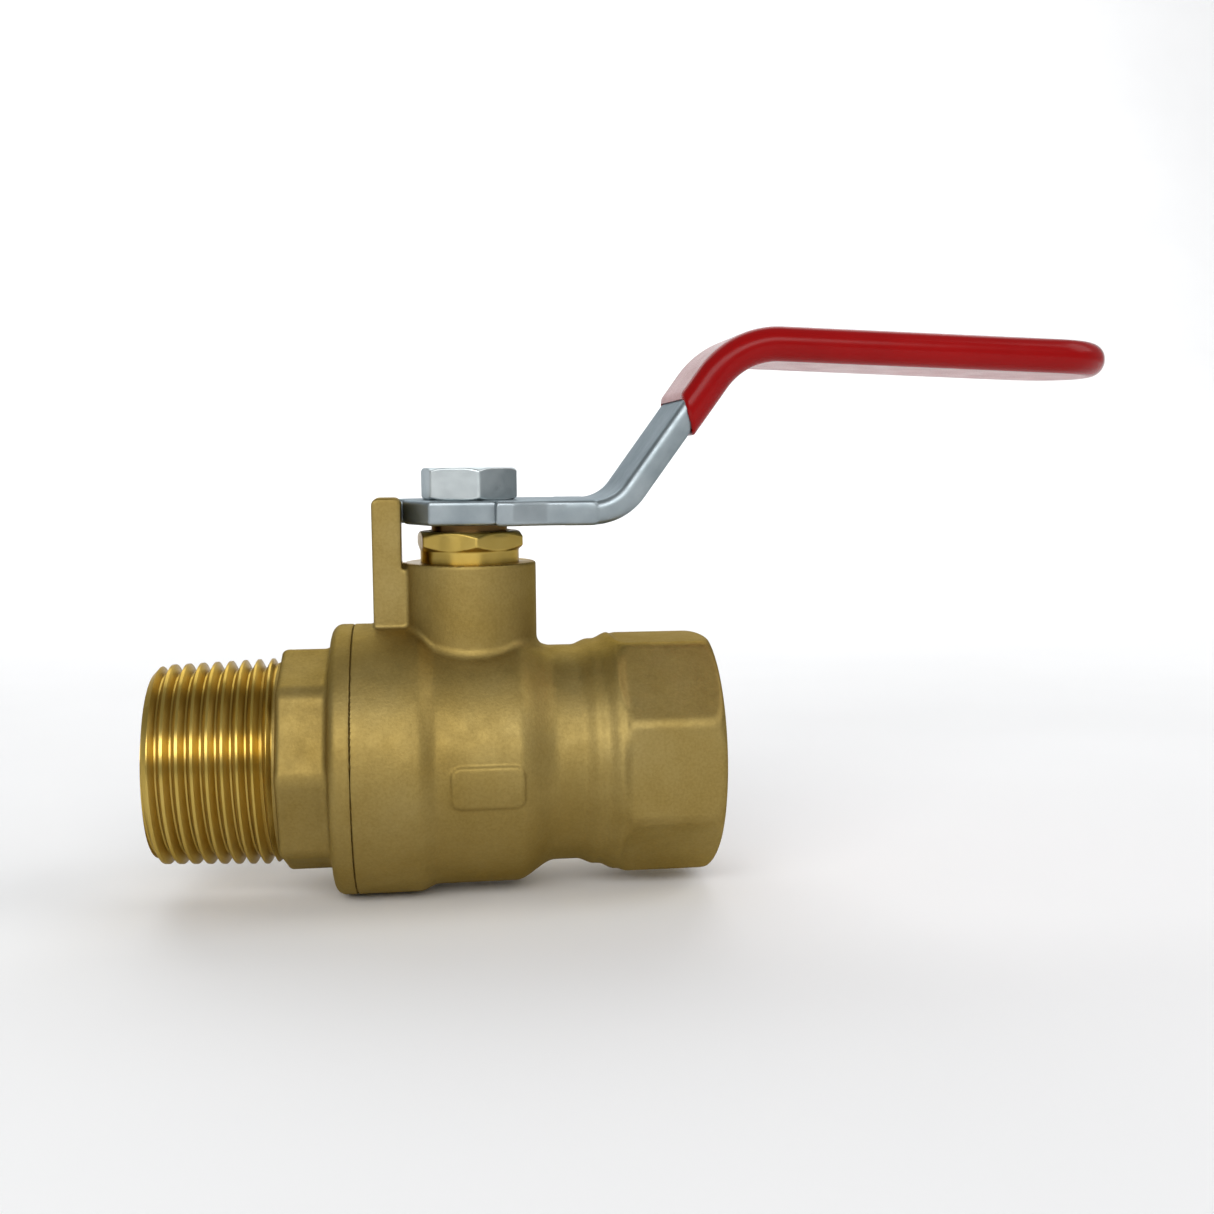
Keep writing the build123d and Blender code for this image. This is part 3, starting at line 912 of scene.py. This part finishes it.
def forged_brass():
    """Sand-blasted forging: fine grain and a slow drift of tone."""
    m = Nodes("forged_brass_blasted")
    tone = m.ramp(
        m.noise(70, 4.0),
        (0.30, (0.31, 0.216, 0.060)),
        (0.55, (0.36, 0.263, 0.086)),
        (0.75, (0.40, 0.302, 0.112)),
    )
    specks = m.ramp(m.noise(2600, 2.0), (0.35, (0.78, 0.76, 0.72)), (0.65, (1.0, 1.0, 1.0)))
    colour = m.mix(0.5, tone, specks, "MULTIPLY")
    m.join(colour, m.shader.inputs["Base Color"])
    m.join(m.spread(m.noise(500, 3.0), 0.50, 0.60), m.shader.inputs["Roughness"])
    m.bump((m.noise(350, 3.0), 0.00012, 0.35), (m.noise(3200, 3.0, 0.7), 0.00006, 0.55))
    m.set(Metallic=1.0, Specular_Tint=(0.38, 0.37, 0.35))
    return m.material


def machined_brass(name, axis, stretch, rough, dark, light):
    """Bright turned brass, with fine tool lines that run round the turning axis."""
    m = Nodes(name)
    tone = m.ramp(m.noise(120, 4.0), (0.30, dark), (0.70, light))
    m.join(tone, m.shader.inputs["Base Color"])
    lines = m.noise(1.0, 2.0, 0.6, stretch)
    m.join(m.spread(lines, rough[0], rough[1]), m.shader.inputs["Roughness"])
    m.bump((lines, 0.00001, 0.25))
    tangent = m.add("ShaderNodeTangent", direction_type="RADIAL", axis=axis)
    m.join(tangent.outputs["Tangent"], m.shader.inputs["Tangent"])
    m.set(Metallic=1.0, Anisotropic=0.8, Anisotropic_Rotation=0.25, Specular_Tint=(0.50, 0.47, 0.44))
    return m.material


def zinc_steel(name, dark, light, rough):
    """Zinc-plated steel: blue-grey, faintly cloudy, with light rolling marks."""
    m = Nodes(name)
    tone = m.ramp(m.noise(160, 5.0), (0.32, dark), (0.68, light))
    m.join(tone, m.shader.inputs["Base Color"])
    grain = m.noise(1.0, 3.0, 0.6, (250, 1200, 1200))
    m.join(m.spread(grain, rough[0], rough[1]), m.shader.inputs["Roughness"])
    m.bump((grain, 0.000004, 0.15), (m.noise(420, 2.0), 0.00004, 0.10))
    m.set(Metallic=1.0, Specular_Tint=(0.40, 0.44, 0.47))
    return m.material


def red_vinyl():
    """Glossy dipped vinyl with the slow waviness of a dipped skin."""
    m = Nodes("dipped_red_vinyl")
    tone = m.ramp(m.noise(60, 3.0), (0.30, (0.25, 0.0018, 0.0020)), (0.70, (0.30, 0.0030, 0.0032)))
    m.join(tone, m.shader.inputs["Base Color"])
    m.join(m.spread(m.noise(300, 3.0), 0.20, 0.26), m.shader.inputs["Roughness"])
    m.bump((m.noise(110, 2.0), 0.0004, 0.10), (m.noise(900, 1.0), 0.00002, 0.08))
    m.set(IOR=1.24)
    return m.material


def chromed_brass():
    """Polished chrome plate with faint polishing marks."""
    m = Nodes("polished_chrome")
    tone = m.ramp(m.noise(90, 3.0), (0.3, (0.66, 0.67, 0.69)), (0.7, (0.74, 0.75, 0.76)))
    m.join(tone, m.shader.inputs["Base Color"])
    marks = m.noise(1.0, 3.0, 0.6, (300, 3000, 3000))
    m.join(m.spread(marks, 0.05, 0.14), m.shader.inputs["Roughness"])
    m.bump((marks, 0.00001, 0.2))
    m.set(Metallic=1.0)
    return m.material


def ptfe():
    """Waxy white PTFE."""
    m = Nodes("white_ptfe")
    tone = m.ramp(m.noise(400, 3.0), (0.3, (0.78, 0.78, 0.74)), (0.7, (0.86, 0.86, 0.83)))
    m.join(tone, m.shader.inputs["Base Color"])
    m.join(m.spread(m.noise(900, 2.0), 0.38, 0.5), m.shader.inputs["Roughness"])
    m.bump((m.noise(1500, 2.0), 0.00003, 0.3))
    m.set(Subsurface_Weight=0.1, Subsurface_Scale=0.002)
    return m.material


def fibre_seal():
    """Pressed fibre: matt red-brown with short flecks."""
    m = Nodes("pressed_fibre")
    tone = m.ramp(
        m.noise(1.0, 4.0, 0.7, (900, 2500, 2500)),
        (0.35, (0.10, 0.035, 0.02)),
        (0.65, (0.20, 0.085, 0.05)),
    )
    m.join(tone, m.shader.inputs["Base Color"])
    m.join(m.spread(m.noise(1200, 3.0), 0.7, 0.9), m.shader.inputs["Roughness"])
    m.bump((m.noise(2200, 3.0), 0.00008, 0.5))
    return m.material


def dress(piece, *materials):
    """Gives a piece its materials, in slot order."""
    piece.data.materials.clear()
    for material in materials:
        piece.data.materials.append(material)
    return piece


def paint_where(piece, index, test):
    """Gives the faces whose centre, in mm, passes the test a material slot."""
    for face in piece.data.polygons:
        x, y, z = face.center / MM
        if test(x, y, z):
            face.material_index = index


# ==== assembly ========================================================================


def install(piece, body, node):
    """The piece stands for a CAD node, moves with its body and keeps its finish."""
    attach(piece, body)
    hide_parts(node)


def turned_about_x(x, y, z):
    """Faces of the body that are turned about the pipe."""
    around = math.hypot(y, z)
    return around < FEMALE_MOUTH_R + 0.05 or (x < SHOULDER_X and around < JOINT_BORE_R + 0.05)


def turned_about_z(x, y, z):
    """Faces of the body that are turned about the stem: the packing chamber and the boss's top."""
    inside = math.hypot(x, y) < CHAMBER_R + 0.08
    top = z > BOSS_TOP_Z - 0.05
    return z > BARREL_R + 0.3 and (inside or top) and x > POST_X[1]


def turned_adapter(x, y, z):
    """Faces of the adapter that are turned: all but the octagon and the flange."""
    around = math.hypot(y, z)
    spigot = x > SEAM_X and around < SPIGOT_R + 0.02
    return x < ADAPTER_OCT_X - 0.02 or spigot or around < SEAT_POCKET_R + 0.05


TURNED_X = (2600, 40, 40)    # noise scale for tool lines round X
TURNED_Z = (40, 40, 2600)
BRIGHT = ((0.48, 0.33, 0.070), (0.57, 0.41, 0.110))
# The stem's tones below are painted dark. This is painted shade for the shadow the stem sits in, between
# the gland nut and the lever.
PAINTED_SHADE_STEM_TONES = ((0.15, 0.085, 0.030), (0.21, 0.125, 0.045))
blasted = forged_brass()
turned_about_pipe = machined_brass("machined_brass_pipe", "X", TURNED_X, (0.32, 0.40), *BRIGHT)
turned_about_stem = machined_brass("machined_brass_gland", "Z", TURNED_Z, (0.28, 0.36), *BRIGHT)
# Stem material: turned brass whose dark base colour is painted shade.
painted_shade_stem = machined_brass("machined_brass_stem_painted_shade", "Z", TURNED_Z, (0.32, 0.42), *PAINTED_SHADE_STEM_TONES)
plate_finish = zinc_steel("zinc_plate_lever", (0.26, 0.305, 0.325), (0.38, 0.425, 0.445), (0.36, 0.46))
nut_finish = zinc_steel("zinc_plate_nut", (0.54, 0.60, 0.61), (0.70, 0.75, 0.75), (0.30, 0.40))
vinyl = red_vinyl()
chrome = chromed_brass()
white = ptfe()
fibre = fibre_seal()

body = dress(make_body(), blasted, turned_about_pipe, turned_about_stem)
paint_where(body, 1, turned_about_x)
paint_where(body, 2, turned_about_z)
adapter = dress(make_adapter(), blasted, turned_about_pipe)
paint_where(adapter, 1, turned_adapter)
lever = dress(shaped("lever_plate", plate_field, LEVER_LOW, LEVER_HIGH, voxel=0.3), plate_finish)
grip = dress(shaped("grip_skin", skin_field, GRIP_LOW, GRIP_HIGH, voxel=0.25), vinyl)
handle_nut = dress(shaped("lever_nut", handle_nut_field, NUT_LOW, NUT_HIGH, voxel=0.13), nut_finish)
gland = shaped("gland_nut", packing_nut_field, GLAND_LOW, GLAND_HIGH, voxel=0.14)
packing_nut = dress(gland, turned_about_stem)

install(body, "valve_body", "body")
install(adapter, "valve_body", "end_adapter")
install(packing_nut, "valve_body", "packing_nut")
install(lever, "handle", "lever")
install(grip, "handle", "grip_sleeve")
install(handle_nut, "handle", "handle_nut")

NODE_FINISH = {
    "stem": painted_shade_stem,
    "ball": chrome,
    "seat_inlet": white,
    "seat_outlet": white,
    "stem_thrust_washer": white,
    "stem_packing_lower": white,
    "stem_packing_upper": white,
    "body_joint_seal": fibre,
}
for node, finish in NODE_FINISH.items():
    dress(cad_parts[node], finish)


# ==== floor, light and camera =========================================================

FLOOR_Z = BODY_LOW.z * MM


def make_floor():
    """Pale floor that curves up into a backdrop."""
    reach, back, curve, wall, steps = 1.6, 1.1, 0.5, 1.0, 24
    profile = [(-reach, FLOOR_Z), (back - curve, FLOOR_Z)]
    for index in range(1, steps + 1):
        angle = math.pi / 2 * index / steps
        profile.append((back - curve + curve * math.sin(angle), FLOOR_Z + curve * (1 - math.cos(angle))))
    profile.append((back, FLOOR_Z + wall))
    points = [(x, y, z) for y, z in profile for x in (-reach, reach)]
    faces = [(2 * i, 2 * i + 1, 2 * i + 3, 2 * i + 2) for i in range(len(profile) - 1)]
    mesh = bpy.data.meshes.new("studio_floor")
    mesh.from_pydata(points, [], faces)
    mesh.shade_smooth()
    floor = bpy.data.objects.new("studio_floor", mesh)
    bpy.context.scene.collection.objects.link(floor)
    m = Nodes("pale_paper")
    tone = m.ramp(m.noise(9, 3.0), (0.3, (0.90, 0.90, 0.90)), (0.7, (0.93, 0.93, 0.93)))
    m.join(tone, m.shader.inputs["Base Color"])
    m.set(Roughness=0.9)
    dress(floor, m.material)


def softbox(name, place, target, size, power, tint=(1.0, 1.0, 1.0)):
    """Rectangular area light aimed at a point."""
    lamp = bpy.data.lights.new(name, "AREA")
    lamp.shape = "RECTANGLE"
    lamp.size, lamp.size_y = size
    lamp.energy = power
    lamp.color = tint
    holder = bpy.data.objects.new(name, lamp)
    bpy.context.scene.collection.objects.link(holder)
    aim = Vector(target) - Vector(place)
    holder.location = place
    holder.rotation_euler = aim.to_track_quat("-Z", "Y").to_euler()


def make_light():
    """Soft key behind the camera, a wide light from above, a fill on the right and one
    on the backdrop."""
    centre = (0.01, 0.0, 0.01)
    softbox("key", (-0.16, -0.75, 0.44), centre, (1.1, 0.30), 5.3)
    softbox("top", (0.0, 0.75, 0.8), centre, (1.2, 0.7), 4.0)
    softbox("fill", (0.85, -0.25, 0.75), centre, (0.7, 0.7), 3.2)
    softbox("back", (0.0, 0.40, 1.0), (0.0, 1.1, 0.7), (1.6, 0.6), 8.0)
    world = bpy.data.worlds.new("studio")
    bpy.context.scene.world = world
    world.use_nodes = True
    background = world.node_tree.nodes["Background"]
    background.inputs["Color"].default_value = (0.95, 0.97, 1.0, 1.0)
    background.inputs["Strength"].default_value = 0.30


def make_camera():
    """Camera a little left of the stem, looking right and down at the valve."""
    place = Vector((-0.005116, -0.181903, 0.039164))
    yaw, pitch, roll = (math.radians(angle) for angle in (7.34, -6.117, -0.367))
    forward = Vector((math.sin(yaw) * math.cos(pitch), math.cos(yaw) * math.cos(pitch), math.sin(pitch)))
    level = Vector((math.cos(yaw), -math.sin(yaw), 0.0))
    upright = level.cross(forward)
    right = math.cos(roll) * level + math.sin(roll) * upright
    up = math.cos(roll) * upright - math.sin(roll) * level
    data = bpy.data.cameras.new("photo_view")
    data.lens = 40.5
    data.sensor_width = 36.0
    data.clip_start = 0.01
    camera = bpy.data.objects.new("photo_view", data)
    bpy.context.scene.collection.objects.link(camera)
    turn = Matrix((right, up, -forward)).transposed()
    camera.matrix_world = Matrix.Translation(place) @ turn.to_4x4()
    bpy.context.scene.camera = camera


make_floor()
make_light()
make_camera()
bpy.context.scene.view_settings.view_transform = "Standard"
